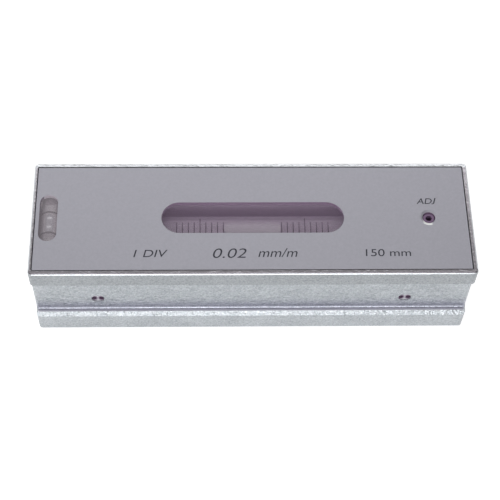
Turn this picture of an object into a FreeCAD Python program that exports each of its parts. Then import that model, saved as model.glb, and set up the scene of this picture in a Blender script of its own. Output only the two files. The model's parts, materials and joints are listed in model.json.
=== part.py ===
import FreeCAD, Part
import math
import os
import Sketcher

# A 150 mm bench precision level. X runs along the level, Y across it and Z up.
# The origin is the middle of the ground base.

# Driving dimensions, in millimetres and degrees
sizes = {
    # cast body
    "body_length": 150.0,
    "body_width": 44.5,
    "body_height": 38.0,
    "ledge_height": 10.0,
    "ledge_chamfer": 1.3,
    "flange_height": 7.9,
    "waist_depth": 2.8,
    "waist_fillet": 1.1,
    "corner_radius": 1.3,
    "top_chamfer": 0.5,
    "base_chamfer": 0.4,
    "flange_chamfer": 0.6,
    # groove in the base, for resting on shafts
    "groove_width": 20.0,
    "groove_angle": 120.0,
    "relief_width": 2.0,
    "relief_depth": 0.6,
    # cover plate and its recess
    "rim_width": 1.5,
    "left_rim_width": 1.0,
    "plate_thickness": 1.5,
    "plate_drop": 0.15,
    "plate_gap": 0.35,
    "plate_corner": 0.25,
    "window_from_end": 43.95,
    "window_width": 12.2,
    "cross_window_length": 18.3,
    "cross_window_width": 6.1,
    "cross_vial_from_end": 5.65,
    "pane_thickness": 0.8,
    "pane_drop": 0.15,
    "pane_side_gap": 0.06,
    "pane_overlap": 1.8,
    "cross_pane_overlap": 0.4,
    # adjusting hole
    "adjuster_from_end": 14.9,
    "access_diameter": 4.4,
    "countersink_diameter": 5.8,
    "countersink_angle": 120.0,
    # chamber milled under the plate
    "chamber_floor_share": 0.2895,
    "chamber_width_share": 0.5227,
    "bridge_ledge_share": 0.7105,
    "upper_chamber_width_share": 0.7045,
    "chamber_corner": 3.0,
    "chamber_end_gap": 2.4,
    "cross_pocket_depth_below_vial": 5.2,
    "cross_pocket_width": 7.3,
    "cross_pocket_length_share": 0.6818,
    "cross_pocket_corner": 1.2,
    # set screws through the waist
    "pivot_screw_from_end": 21.7,
    "guide_screw_from_end": 22.1,
    "set_screw_height_share": 0.4303,
    "set_screw_diameter": 4.4,
    "set_screw_recess": 0.3,
    "pin_hole_diameter": 1.6,
    "pin_hole_offset": 1.27,
    "pin_hole_depth": 2.0,
    "pivot_tip_diameter": 2.5,
    "pivot_tip_length": 3.2,
    # main vial
    "vial_height_share": 0.6645,
    "vial_diameter_share": 0.3182,
    "vial_wall": 1.2,
    "vial_from_end": 33.0,
    "vial_plug_length": 5.0,
    "division_spacing": 2.0,
    "division_count": 9.0,
    "first_division": 10.0,
    "long_division_place": 4.0,
    "division_width": 0.22,
    "division_depth": 0.12,
    "division_front_angle": 42.0,
    "division_back_angle": 13.0,
    "long_division_back_angle": 30.0,
    "bubble_length": 19.6,
    "bubble_width": 5.9,
    "bubble_depth": 1.2,
    # cradle that carries the main vial
    "cradle_width_share": 0.3818,
    "cradle_bottom_share": 0.3158,
    "cradle_rim_drop": 0.6,
    "cradle_overhang": 1.0,
    "lug_width": 16.0,
    "lug_top_share": 0.5447,
    "lug_reach": 5.2,
    # plaster beds that hold the vials
    "bed_thickness": 0.6,
    "bed_length": 8.0,
    "bed_from_vial_end": 5.5,
    "cross_bed_height": 6.6,
    "cross_bed_overlap": 2.2,
    "cross_bed_side_gap": 0.1,
    # captive adjusting screw, its bridge, clip, nut and spring
    "bridge_length": 10.0,
    "bridge_thickness": 2.0,
    "adjuster_diameter": 3.0,
    "adjuster_head_diameter": 5.2,
    "adjuster_head_height": 2.9,
    "key_end_diameter": 3.9,
    "key_end_below_plate": 0.9,
    "adjuster_socket": 2.0,
    "adjuster_socket_depth": 2.5,
    "adjuster_end_share": 0.321,
    "clip_thickness": 0.5,
    "clip_diameter": 5.2,
    "clip_opening": 1.6,
    "groove_diameter": 2.2,
    "nut_diameter": 5.0,
    "nut_length": 12.0,
    "nut_hole_allowance": 0.8,
    "spring_diameter": 7.4,
    "spring_wire_width": 0.9,
    "spring_wire_height": 0.5,
    "spring_turns": 2.0,
    "bridge_screw_diameter": 2.0,
    "bridge_screw_length": 7.0,
    "bridge_head_diameter": 3.2,
    "bridge_head_height": 1.2,
    # cross vial
    "cross_vial_under_pane": 0.35,
    "cross_vial_diameter": 6.0,
    "cross_vial_wall": 0.6,
    "cross_vial_past_window": 1.35,
    "cross_plug_length": 2.5,
    "ring_spacing": 8.2,
    "ring_width": 0.3,
    "ring_depth": 0.08,
    "cross_bubble_length": 7.2,
    "cross_bubble_width": 3.0,
    "cross_bubble_depth": 0.9,
    # fits
    "running_clearance": 0.05,
    "side_play": 0.15,
    "axial_play": 0.08,
    "thread_play": 0.02,
    "cement_gap": 0.04,
    "liquid_gap": 0.06,
    "bubble_clearance": 0.12,
    "cut_margin": 0.5,
}

document = FreeCAD.newDocument("PrecisionLevel")
sheet = document.addObject("Spreadsheet::Sheet", "Sizes")


class Length:
    # A length that keeps its spreadsheet formula beside its present value.

    def __init__(self, value, formula):
        self.value = value
        self.formula = formula

    def __add__(self, other):
        other = as_length(other)
        return Length(self.value + other.value, f"({self.formula} + {other.formula})")

    def __sub__(self, other):
        other = as_length(other)
        return Length(self.value - other.value, f"({self.formula} - {other.formula})")

    def __mul__(self, factor):
        factor = as_length(factor)
        return Length(self.value * factor.value, f"({self.formula} * {factor.formula})")

    def __truediv__(self, factor):
        factor = as_length(factor)
        return Length(self.value / factor.value, f"({self.formula} / {factor.formula})")

    def __neg__(self):
        return Length(-self.value, f"(-1 * {self.formula})")

    __radd__ = __add__


def as_length(number):
    if isinstance(number, Length):
        return number
    return Length(float(number), f"{float(number):.9f}")


def tangent(angle):
    return Length(math.tan(math.radians(angle.value)), f"tan({angle.formula} * 1 deg)")


size = {}
for row, (alias, value) in enumerate(sizes.items(), start=1):
    sheet.set(f"A{row}", alias)
    sheet.set(f"B{row}", str(value))
    sheet.setAlias(f"B{row}", alias)
    size[alias] = Length(value, f"Sizes.{alias}")
document.recompute()

zero = as_length(0)
parts = []


# Helpers for sketches and features
def bind(feature, name, length):
    feature.setExpression(name, length.formula)


def new_body(label):
    body = document.addObject("PartDesign::Body", label)
    body.Label = label
    parts.append(body)
    return body


def sketch_on(body, role, name, offset=(zero, zero, zero)):
    # A sketch on the body's own origin plane, moved by an offset in the plane's own axes.
    # XY_Plane faces +Z, YZ_Plane faces +X, and XZ_Plane faces -Y.
    sketch = body.newObject("Sketcher::SketchObject", f"{body.Label}_{name}")
    plane = [feature for feature in body.Origin.OriginFeatures if feature.Role == role][0]
    sketch.AttachmentSupport = [(plane, "")]
    sketch.MapMode = "FlatFace"
    for axis, length in zip("xyz", offset):
        bind(sketch, f"AttachmentOffset.Base.{axis}", length)
    return sketch


def pin_point(sketch, geometry, position, x, y):
    for kind, length in (("DistanceX", x), ("DistanceY", y)):
        index = sketch.addConstraint(
            Sketcher.Constraint(kind, -1, 1, geometry, position, length.value)
        )
        bind(sketch, f"Constraints[{index}]", length)


def draw_polygon(sketch, points):
    points = [(as_length(x), as_length(y)) for x, y in points]
    first = sketch.GeometryCount
    count = len(points)
    for index in range(count):
        start = points[index]
        end = points[(index + 1) % count]
        line = Part.LineSegment(
            FreeCAD.Vector(start[0].value, start[1].value, 0),
            FreeCAD.Vector(end[0].value, end[1].value, 0),
        )
        sketch.addGeometry(line, False)
    for index in range(count):
        following = (index + 1) % count
        sketch.addConstraint(
            Sketcher.Constraint("Coincident", first + index, 2, first + following, 1)
        )
    for index, (x, y) in enumerate(points):
        pin_point(sketch, first + index, 1, x, y)


def draw_rectangle(sketch, x_low, x_high, y_low, y_high):
    draw_polygon(
        sketch, [(x_low, y_low), (x_high, y_low), (x_high, y_high), (x_low, y_high)]
    )


def draw_circle(sketch, x, y, diameter):
    x, y = as_length(x), as_length(y)
    circle = Part.Circle(
        FreeCAD.Vector(x.value, y.value, 0), FreeCAD.Vector(0, 0, 1), diameter.value / 2
    )
    index = sketch.addGeometry(circle, False)
    pin_point(sketch, index, 3, x, y)
    constraint = sketch.addConstraint(
        Sketcher.Constraint("Diameter", index, diameter.value)
    )
    bind(sketch, f"Constraints[{constraint}]", diameter)


def draw_hexagon(sketch, x, y, across_flats):
    # The corner circle of a hexagon is its width across flats over the square root of three.
    corner = across_flats / math.sqrt(3)
    points = []
    for number in range(6):
        angle = math.radians(60 * number)
        points.append((x + corner * math.cos(angle), y + corner * math.sin(angle)))
    draw_polygon(sketch, points)


def set_extent(feature, length, symmetric):
    if length is None:
        feature.Type = "ThroughAll"
    else:
        bind(feature, "Length", length)
    if symmetric:
        feature.SideType = "Symmetric"


def pad(body, sketch, length, symmetric=False):
    feature = body.newObject("PartDesign::Pad", f"{sketch.Name}_pad")
    feature.Profile = sketch
    set_extent(feature, length, symmetric)
    sketch.Visibility = False
    document.recompute()
    return feature


def pocket(body, sketch, length=None, symmetric=False):
    # Cuts against the sketch's normal, and the volume shows that it did.
    before = body.Shape.Volume
    feature = body.newObject("PartDesign::Pocket", f"{sketch.Name}_pocket")
    feature.Profile = sketch
    set_extent(feature, length, symmetric)
    sketch.Visibility = False
    document.recompute()
    if not body.Shape.Volume < before:
        raise ValueError(f"{feature.Name} removed nothing")
    return feature


def revolve(body, sketch, axis, kind="PartDesign::Revolution", angles=None):
    before = body.Shape.Volume if kind.endswith("Groove") else None
    feature = body.newObject(kind, f"{sketch.Name}_turned")
    feature.Profile = sketch
    feature.ReferenceAxis = (sketch, [axis])
    if angles is None:
        feature.Angle = 360
    else:
        feature.Type = "TwoAngles"
        bind(feature, "Angle", angles[0])
        bind(feature, "Angle2", angles[1])
    sketch.Visibility = False
    document.recompute()
    if before is not None and not body.Shape.Volume < before:
        raise ValueError(f"{feature.Name} removed nothing")
    return feature


def near(number, length, tolerance=1e-4):
    return abs(number - length.value) < tolerance


def dress_edges(body, kind, name, width, chosen):
    # Fillets or chamfers every edge of the body for which chosen(edge) is true.
    document.recompute()
    shape = body.Tip.Shape
    names = [f"Edge{n}" for n, edge in enumerate(shape.Edges, start=1) if chosen(edge)]
    if not names:
        raise ValueError(f"{body.Label}: no edge for {name}")
    feature = body.newObject(f"PartDesign::{kind}", f"{body.Label}_{name}")
    feature.Base = (body.Tip if feature.BaseFeature is None else feature.BaseFeature, names)
    bind(feature, "Size" if kind == "Chamfer" else "Radius", width)
    document.recompute()
    return feature


def upright_edge(half_x, half_y, middle_x=zero, bottom=None):
    # Chooses the straight upright edges at the corners of a rectangle about middle_x.
    def chosen(edge):
        ends = [vertex.Point for vertex in edge.Vertexes]
        if len(ends) != 2 or abs(ends[0].z - ends[1].z) < 1e-4:
            return False
        if bottom is not None and not near(min(end.z for end in ends), bottom):
            return False
        return all(
            near(abs(end.x - middle_x.value), half_x) and near(abs(end.y), half_y)
            for end in ends
        )

    return chosen


def level_edge(height):
    # Chooses every edge that lies at one height.
    def chosen(edge):
        ends = [vertex.Point for vertex in edge.Vertexes]
        return bool(ends) and all(near(end.z, height) for end in ends)

    return chosen


def turned_upright(label, x, y, profile):
    # A piece turned about an upright axis, from (radius, height) points.
    body = new_body(label)
    sketch = sketch_on(body, "XZ_Plane", "profile", (x, zero, -y))
    draw_polygon(sketch, profile)
    revolve(body, sketch, "V_Axis")
    return body


def turned_across(label, x, z, profile):
    # A piece turned about an axis along Y, from (radius, Y) points.
    body = new_body(label)
    sketch = sketch_on(body, "XY_Plane", "profile", (x, zero, z))
    draw_polygon(sketch, profile)
    revolve(body, sketch, "V_Axis")
    return body


def turned_along(label, z, profile):
    # A piece turned about an axis along X, from (X, radius) points.
    body = new_body(label)
    sketch = sketch_on(body, "XY_Plane", "profile", (zero, zero, z))
    draw_polygon(sketch, profile)
    revolve(body, sketch, "H_Axis")
    return body


# Places that several pieces share
half_length = size["body_length"] / 2
half_width = size["body_width"] / 2
top = size["body_height"]
waist = half_width - size["waist_depth"]
flange_underside = top - size["flange_height"]
plate_top = top - size["plate_drop"]
plate_bottom = plate_top - size["plate_thickness"]
recess_half_x = half_length - (size["rim_width"] + size["left_rim_width"]) / 2
recess_middle = (size["left_rim_width"] - size["rim_width"]) / 2
recess_half_y = half_width - size["rim_width"]
pane_bottom = plate_bottom - size["pane_thickness"]
window_length = (half_length - size["window_from_end"]) * 2
pivot_x = size["pivot_screw_from_end"] - half_length
guide_x = half_length - size["guide_screw_from_end"]
adjuster_x = half_length - size["adjuster_from_end"]
cross_x = size["cross_vial_from_end"] - half_length
screw_height = top * size["set_screw_height_share"]
lug_half = size["lug_width"] / 2
lug_top = top * size["lug_top_share"]
chamber_floor = top * size["chamber_floor_share"]
chamber_width = size["body_width"] * size["chamber_width_share"]
upper_chamber_width = size["body_width"] * size["upper_chamber_width_share"]
chamber_left = pivot_x - size["lug_reach"] - size["chamber_end_gap"]
chamber_right = adjuster_x + size["lug_reach"] + size["chamber_end_gap"]
chamber_middle = (chamber_left + chamber_right) / 2
chamber_half = (chamber_right - chamber_left) / 2
bridge_seat = top * size["bridge_ledge_share"]
bridge_screw_y = (chamber_width + upper_chamber_width) / 4
vial_height = top * size["vial_height_share"]
vial_length = (half_length - size["vial_from_end"]) * 2
vial_radius = size["body_width"] * size["vial_diameter_share"] / 2
bore_radius = vial_radius - size["vial_wall"]
cradle_bottom = top * size["cradle_bottom_share"]
cradle_half_width = size["body_width"] * size["cradle_width_share"] / 2
cradle_top = vial_height - size["cradle_rim_drop"]
cross_radius = size["cross_vial_diameter"] / 2
cross_bore = cross_radius - size["cross_vial_wall"]
cross_height = pane_bottom - size["cross_vial_under_pane"] - cross_radius
cross_floor = cross_height - size["cross_pocket_depth_below_vial"]
cross_vial_length = size["cross_window_length"] + size["cross_vial_past_window"] * 2
cross_pocket_length = size["body_width"] * size["cross_pocket_length_share"]


# Cast body
def make_level_body():
    body = new_body("level_body")
    ledge = size["ledge_height"]

    section = sketch_on(body, "YZ_Plane", "section")
    draw_polygon(
        section,
        [
            (-half_width, 0),
            (half_width, 0),
            (half_width, ledge),
            (waist, ledge),
            (waist, flange_underside),
            (half_width, flange_underside),
            (half_width, top),
            (-half_width, top),
            (-half_width, flange_underside),
            (-waist, flange_underside),
            (-waist, ledge),
            (-half_width, ledge),
        ],
    )
    pad(body, section, size["body_length"], symmetric=True)

    def waist_edge(edge):
        ends = [vertex.Point for vertex in edge.Vertexes]
        return all(
            near(abs(end.y), waist) and (near(end.z, ledge) or near(end.z, flange_underside))
            for end in ends
        ) and abs(ends[0].x - ends[1].x) > 1

    dress_edges(body, "Fillet", "waist_fillets", size["waist_fillet"], waist_edge)
    dress_edges(
        body, "Fillet", "corners", size["corner_radius"], upright_edge(half_length, half_width)
    )
    dress_edges(body, "Chamfer", "top_edge", size["top_chamfer"], level_edge(top))
    dress_edges(body, "Chamfer", "base_edge", size["base_chamfer"], level_edge(zero))

    def flange_lip(edge):
        ends = [vertex.Point for vertex in edge.Vertexes]
        return all(
            near(end.z, flange_underside) and abs(end.y) > waist.value + size["waist_fillet"].value
            for end in ends
        )

    dress_edges(body, "Chamfer", "flange_lips", size["flange_chamfer"], flange_lip)

    # The ledge's long edges are broken at 45 degrees by two triangular cuts.
    breaks = sketch_on(body, "YZ_Plane", "ledge_breaks")
    reach = size["ledge_chamfer"] + size["cut_margin"]
    for side in (-1, 1):
        draw_polygon(
            breaks,
            [
                ((half_width - reach) * side, ledge + size["cut_margin"]),
                ((half_width + size["cut_margin"]) * side, ledge + size["cut_margin"]),
                ((half_width + size["cut_margin"]) * side, ledge - reach),
            ],
        )
    pocket(body, breaks, symmetric=True)

    # The groove under the base, with a relief slot at its root
    groove = sketch_on(body, "YZ_Plane", "groove")
    groove_half = size["groove_width"] / 2
    relief_half = size["relief_width"] / 2
    slope = tangent(size["groove_angle"] / 2)
    root_height = groove_half / slope
    relief_start = (groove_half - relief_half) / slope
    relief_top = root_height + size["relief_depth"]
    draw_polygon(
        groove,
        [
            (-groove_half, -size["cut_margin"]),
            (groove_half, -size["cut_margin"]),
            (groove_half, 0),
            (relief_half, relief_start),
            (relief_half, relief_top),
            (-relief_half, relief_top),
            (-relief_half, relief_start),
            (-groove_half, 0),
        ],
    )
    pocket(body, groove, symmetric=True)

    # Everything that is milled from the top
    recess = sketch_on(body, "XY_Plane", "recess", (zero, zero, top))
    draw_rectangle(
        recess,
        recess_middle - recess_half_x,
        recess_middle + recess_half_x,
        -recess_half_y,
        recess_half_y,
    )
    pocket(body, recess, top - plate_bottom)
    dress_edges(
        body,
        "Fillet",
        "recess_corners",
        size["plate_corner"] + size["plate_gap"],
        upright_edge(recess_half_x, recess_half_y, recess_middle),
    )
    for name, width, floor in (
        ("upper_chamber", upper_chamber_width, bridge_seat),
        ("lower_chamber", chamber_width, chamber_floor),
    ):
        chamber = sketch_on(body, "XY_Plane", name, (zero, zero, plate_bottom))
        draw_rectangle(chamber, chamber_left, chamber_right, -width / 2, width / 2)
        pocket(body, chamber, plate_bottom - floor)
        dress_edges(
            body,
            "Fillet",
            f"{name}_corners",
            size["chamber_corner"],
            upright_edge(chamber_half, width / 2, chamber_middle, floor),
        )
    pocket_half_x = size["cross_pocket_width"] / 2
    pocket_half_y = cross_pocket_length / 2
    cross_pocket = sketch_on(body, "XY_Plane", "cross_pocket", (zero, zero, plate_bottom))
    draw_rectangle(
        cross_pocket,
        cross_x - pocket_half_x,
        cross_x + pocket_half_x,
        -pocket_half_y,
        pocket_half_y,
    )
    pocket(body, cross_pocket, plate_bottom - cross_floor)
    dress_edges(
        body,
        "Fillet",
        "cross_pocket_corners",
        size["cross_pocket_corner"],
        upright_edge(pocket_half_x, pocket_half_y, cross_x, cross_floor),
    )

    # Tapped holes: four across the waist and two for the bridge
    side_holes = sketch_on(body, "XZ_Plane", "side_holes")
    for x in (pivot_x, guide_x):
        draw_circle(side_holes, x, screw_height, size["set_screw_diameter"])
    pocket(body, side_holes, symmetric=True)
    bridge_holes = sketch_on(body, "XY_Plane", "bridge_holes", (zero, zero, bridge_seat))
    for side in (-1, 1):
        draw_circle(
            bridge_holes,
            adjuster_x,
            bridge_screw_y * side,
            size["bridge_screw_diameter"],
        )
    pocket(
        body,
        bridge_holes,
        size["bridge_screw_length"] - size["bridge_thickness"] + size["cut_margin"],
    )
    return body


# Cover plate and the stepped panes cemented into it from below
def draw_window(sketch, x, length, width, along_x):
    # A slot with full-round ends, drawn anticlockwise: a side, a half circle, and again.
    half_straight = (length - width) / 2
    radius = width / 2
    first = sketch.GeometryCount

    def place(along, across):
        return (x + along, across) if along_x else (x - across, along)

    def point(pair):
        return FreeCAD.Vector(pair[0].value, pair[1].value, 0)

    for turn in (1, -1):
        side_start = place(-half_straight * turn, -radius * turn)
        side_end = place(half_straight * turn, -radius * turn)
        tip = place((half_straight + radius) * turn, zero)
        next_side = place(half_straight * turn, radius * turn)
        side = sketch.addGeometry(Part.LineSegment(point(side_start), point(side_end)), False)
        arc = sketch.addGeometry(Part.Arc(point(side_end), point(tip), point(next_side)), False)
        pin_point(sketch, side, 1, *side_start)
        pin_point(sketch, side, 2, *side_end)
        sketch.addConstraint(Sketcher.Constraint("Coincident", side, 2, arc, 1))
        centre = place(half_straight * turn, zero)[0 if along_x else 1]
        kind = "DistanceX" if along_x else "DistanceY"
        index = sketch.addConstraint(Sketcher.Constraint(kind, -1, 1, arc, 3, centre.value))
        bind(sketch, f"Constraints[{index}]", centre)
    for arc, side in ((first + 1, first + 2), (first + 3, first)):
        sketch.addConstraint(Sketcher.Constraint("Coincident", arc, 2, side, 1))


def make_cover_plate():
    body = new_body("cover_plate")
    half_x = recess_half_x - size["plate_gap"]
    half_y = recess_half_y - size["plate_gap"]
    outline = sketch_on(body, "XY_Plane", "outline", (zero, zero, plate_bottom))
    draw_rectangle(
        outline,
        recess_middle - half_x,
        recess_middle + half_x,
        -half_y,
        half_y,
    )
    pad(body, outline, size["plate_thickness"])
    dress_edges(
        body,
        "Fillet",
        "corners",
        size["plate_corner"],
        upright_edge(half_x, half_y, recess_middle),
    )
    openings = sketch_on(body, "XY_Plane", "openings", (zero, zero, plate_top))
    draw_window(openings, zero, window_length, size["window_width"], True)
    draw_window(
        openings, cross_x, size["cross_window_length"], size["cross_window_width"], False
    )
    pocket(body, openings)
    # the access hole and its countersink are turned in one cut
    access = sketch_on(body, "XZ_Plane", "access", (adjuster_x, zero, zero))
    hole_radius = size["access_diameter"] / 2
    sink_radius = size["countersink_diameter"] / 2
    slope = tangent(size["countersink_angle"] / 2)
    rise = size["cut_margin"] / slope
    draw_polygon(
        access,
        [
            (0, plate_bottom - size["cut_margin"]),
            (hole_radius, plate_bottom - size["cut_margin"]),
            (hole_radius, plate_top - (sink_radius - hole_radius) / slope),
            (sink_radius + size["cut_margin"], plate_top + rise),
            (0, plate_top + rise),
        ],
    )
    revolve(body, access, "V_Axis", "PartDesign::Groove")
    return body


def make_pane(label, x, length, width, overlap, along_x):
    # A flange lies under the plate and a boss on it fills the opening, almost flush.
    body = new_body(label)
    outline = sketch_on(body, "XY_Plane", "outline", (zero, zero, pane_bottom))
    half_along = length / 2 + overlap
    half_across = width / 2 + overlap
    half_x, half_y = (half_along, half_across) if along_x else (half_across, half_along)
    draw_rectangle(outline, x - half_x, x + half_x, -half_y, half_y)
    pad(body, outline, size["pane_thickness"])
    boss = sketch_on(body, "XY_Plane", "boss", (zero, zero, plate_bottom))
    gap = size["pane_side_gap"] * 2
    draw_window(boss, x, length - gap, width - gap, along_x)
    pad(body, boss, size["plate_thickness"] - size["pane_drop"])
    return body


# Vials: glass, end plugs, liquid and bubble
def draw_vee(sketch, place, width, surface, depth, across):
    # A triangle that stands over the surface and cuts a vee of this width and depth into it.
    rise = depth
    half = width / depth.value * (depth.value + rise.value) / 2
    points = [(place, surface - depth), (place + half, surface + rise), (place - half, surface + rise)]
    if across:
        points = [(height, along) for along, height in points]
    draw_polygon(sketch, points)


def tube_profile(half, bore, radius):
    return [(-half, bore), (half, bore), (half, radius), (-half, radius)]


def make_main_vial():
    half = vial_length / 2
    body = turned_along("main_vial", vial_height, tube_profile(half, bore_radius, vial_radius))
    # Division lines are V-shaped arcs engraved over the crown, in a row to each side.
    spacing = size["division_spacing"]
    long_place = size["first_division"] + spacing * size["long_division_place"]
    front = size["division_front_angle"]

    def cut_division(name, x, back):
        line = sketch_on(body, "XZ_Plane", name, (zero, vial_height, zero))
        draw_vee(line, x, size["division_width"], vial_radius, size["division_depth"], False)
        return revolve(body, line, "H_Axis", "PartDesign::Groove", (front, back))

    for side, name in ((-1, "left"), (1, "right")):
        start = size["first_division"] * side
        first = cut_division(f"{name}_division", start, size["division_back_angle"])
        row = body.newObject("PartDesign::LinearPattern", f"main_vial_{name}_row")
        row.Originals = [first]
        row.Direction = (first.Profile[0], ["H_Axis"])
        row.Reversed = side < 0
        bind(row, "Length", spacing * (size["division_count"] - 1))
        bind(row, "Occurrences", size["division_count"])
        body.Tip = row
        document.recompute()
        cut_division(f"{name}_long_division", long_place * side, size["long_division_back_angle"])
    return body


def make_main_plugs():
    outer = vial_length / 2
    inner = outer - size["vial_plug_length"]
    radius = bore_radius - size["cement_gap"]
    for label, side in (("vial_plug_left", -1), ("vial_plug_right", 1)):
        turned_along(
            label,
            vial_height,
            [(inner * side, 0), (outer * side, 0), (outer * side, radius), (inner * side, radius)],
        )


def lying_cylinder(name, radius, length, centre, along_x):
    # A primitive cylinder with its axis along X or Y and its middle at the centre.
    cylinder = document.addObject("Part::Cylinder", name)
    bind(cylinder, "Radius", radius)
    bind(cylinder, "Height", length)
    axis = FreeCAD.Vector(0, 1, 0) if along_x else FreeCAD.Vector(1, 0, 0)
    cylinder.Placement.Rotation = FreeCAD.Rotation(axis, 90 if along_x else -90)
    x, y, z = centre
    start = (x - length / 2, y, z) if along_x else (x, y - length / 2, z)
    for letter, place in zip("xyz", start):
        bind(cylinder, f"Placement.Base.{letter}", place)
    return cylinder


def lying_box(name, length, width, bottom, height, x, along_x):
    # A primitive box over the vial's axis, for what lies above the liquid's level.
    box = document.addObject("Part::Box", name)
    size_x, size_y = (length, width) if along_x else (width, length)
    bind(box, "Length", size_x)
    bind(box, "Width", size_y)
    bind(box, "Height", height)
    bind(box, "Placement.Base.x", x - size_x / 2)
    bind(box, "Placement.Base.y", -size_y / 2)
    bind(box, "Placement.Base.z", bottom)
    return box


def make_spirit(label, inner_length, bore, bubble_depth, x, height, along_x):
    # The liquid fills the bore up to the level of the bubble's underside.
    length = inner_length - size["liquid_gap"] * 2
    radius = bore - size["liquid_gap"]
    fill = lying_cylinder(f"{label}_fill", radius, length, (x, zero, height), along_x)
    level = height + radius - bubble_depth - size["bubble_clearance"]
    air = lying_box(f"{label}_air", length * 2, radius * 2, level, radius, x, along_x)
    spirit = document.addObject("Part::Cut", label)
    spirit.Base = fill
    spirit.Tool = air
    spirit.Label = label
    parts.append(spirit)


def make_bubble(label, length, width, depth, bore, x, height, along_x):
    # The bubble is an upright prism with round ends, as far as the bore lets it reach.
    radius = bore - size["liquid_gap"]
    bottom = height + radius - depth
    straight = length - width
    pieces = [lying_box(f"{label}_middle", straight, width, bottom, depth * 2, x, along_x)]
    for number, shift in enumerate((-straight / 2, straight / 2)):
        end = document.addObject("Part::Cylinder", f"{label}_end_{number}")
        bind(end, "Radius", width / 2)
        bind(end, "Height", depth * 2)
        centre = (x + shift, zero, bottom) if along_x else (x, shift, bottom)
        for letter, place in zip("xyz", centre):
            bind(end, f"Placement.Base.{letter}", place)
        pieces.append(end)
    prism = document.addObject("Part::MultiFuse", f"{label}_prism")
    prism.Shapes = pieces
    bore_space = lying_cylinder(
        f"{label}_bore", radius, length * 2, (x, zero, height), along_x
    )
    bubble = document.addObject("Part::Common", label)
    bubble.Base = bore_space
    bubble.Tool = prism
    bubble.Label = label
    parts.append(bubble)


def make_cross_vial():
    half = cross_vial_length / 2
    profile = [(cross_bore, -half), (cross_radius, -half), (cross_radius, half), (cross_bore, half)]
    body = turned_across("cross_vial", cross_x, cross_height, profile)
    rings = sketch_on(body, "XY_Plane", "rings", (cross_x, zero, cross_height))
    for side in (-1, 1):
        middle = size["ring_spacing"] / 2 * side
        draw_vee(rings, middle, size["ring_width"], cross_radius, size["ring_depth"], True)
    revolve(body, rings, "V_Axis", "PartDesign::Groove")
    outer = half
    inner = half - size["cross_plug_length"]
    plug = cross_bore - size["cement_gap"]
    for label, side in (("cross_plug_front", -1), ("cross_plug_rear", 1)):
        turned_across(
            label,
            cross_x,
            cross_height,
            [(0, inner * side), (plug, inner * side), (plug, outer * side), (0, outer * side)],
        )


# Cradle that carries the main vial, and the plaster that the vial lies in
def make_vial_carrier():
    body = new_body("vial_carrier")
    left_end = pivot_x - size["lug_reach"]
    right_end = adjuster_x + size["lug_reach"]
    bar = sketch_on(body, "XY_Plane", "bar", (zero, zero, cradle_bottom))
    draw_rectangle(bar, left_end, right_end, -lug_half, lug_half)
    pad(body, bar, lug_top - cradle_bottom)
    half = vial_length / 2 + size["cradle_overhang"]
    block = sketch_on(body, "XY_Plane", "block", (zero, zero, cradle_bottom))
    draw_rectangle(block, -half, half, -cradle_half_width, cradle_half_width)
    pad(body, block, cradle_top - cradle_bottom)
    trough = sketch_on(body, "YZ_Plane", "trough")
    draw_circle(trough, 0, vial_height, (vial_radius + size["bed_thickness"]) * 2)
    pocket(body, trough, half * 2, symmetric=True)
    # bores along Y for the pivot tips and for the barrel nut
    bores = sketch_on(body, "XZ_Plane", "bores")
    draw_circle(
        bores,
        pivot_x,
        screw_height,
        size["pivot_tip_diameter"] + size["running_clearance"] * 2,
    )
    draw_circle(
        bores, adjuster_x, screw_height, size["nut_diameter"] + size["thread_play"] * 2
    )
    pocket(body, bores, symmetric=True)
    passage = sketch_on(body, "XY_Plane", "passage", (zero, zero, lug_top))
    draw_circle(
        passage, adjuster_x, 0, size["adjuster_diameter"] + size["nut_hole_allowance"]
    )
    pocket(body, passage, lug_top - cradle_bottom + size["cut_margin"])
    return body


def make_vial_bed(label, side):
    # Set plaster between the vial and the cradle's trough, up to the cradle's rim.
    body = new_body(label)
    inner = vial_radius + size["cement_gap"]
    outer = vial_radius + size["bed_thickness"] - size["cement_gap"]
    middle = (vial_length / 2 - size["bed_from_vial_end"]) * side
    ring = sketch_on(body, "YZ_Plane", "ring", (zero, zero, middle))
    draw_circle(ring, 0, vial_height, outer * 2)
    draw_circle(ring, 0, vial_height, inner * 2)
    pad(body, ring, size["bed_length"], symmetric=True)
    above = sketch_on(body, "YZ_Plane", "above", (zero, zero, middle))
    draw_rectangle(above, -outer * 2, outer * 2, cradle_top, vial_height + outer * 2)
    pocket(body, above, size["bed_length"] * 2, symmetric=True)
    return body


# Screws
def headed_screw(label, x, y, seat, diameter, length, head_diameter, head_height):
    # A cheese-head screw standing on its seat, with a screwdriver slot across its head.
    radius = diameter / 2 - size["thread_play"]
    head = head_diameter / 2
    body = turned_upright(
        label,
        x,
        y,
        [
            (0, seat - length),
            (radius, seat - length),
            (radius, seat),
            (head, seat),
            (head, seat + head_height),
            (0, seat + head_height),
        ],
    )
    slot = sketch_on(body, "XY_Plane", "slot", (zero, zero, seat + head_height))
    slot_half = head_diameter / 10
    draw_rectangle(slot, x - slot_half, x + slot_half, y - head_diameter, y + head_diameter)
    pocket(body, slot, head_height / 2)
    return body


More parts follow.
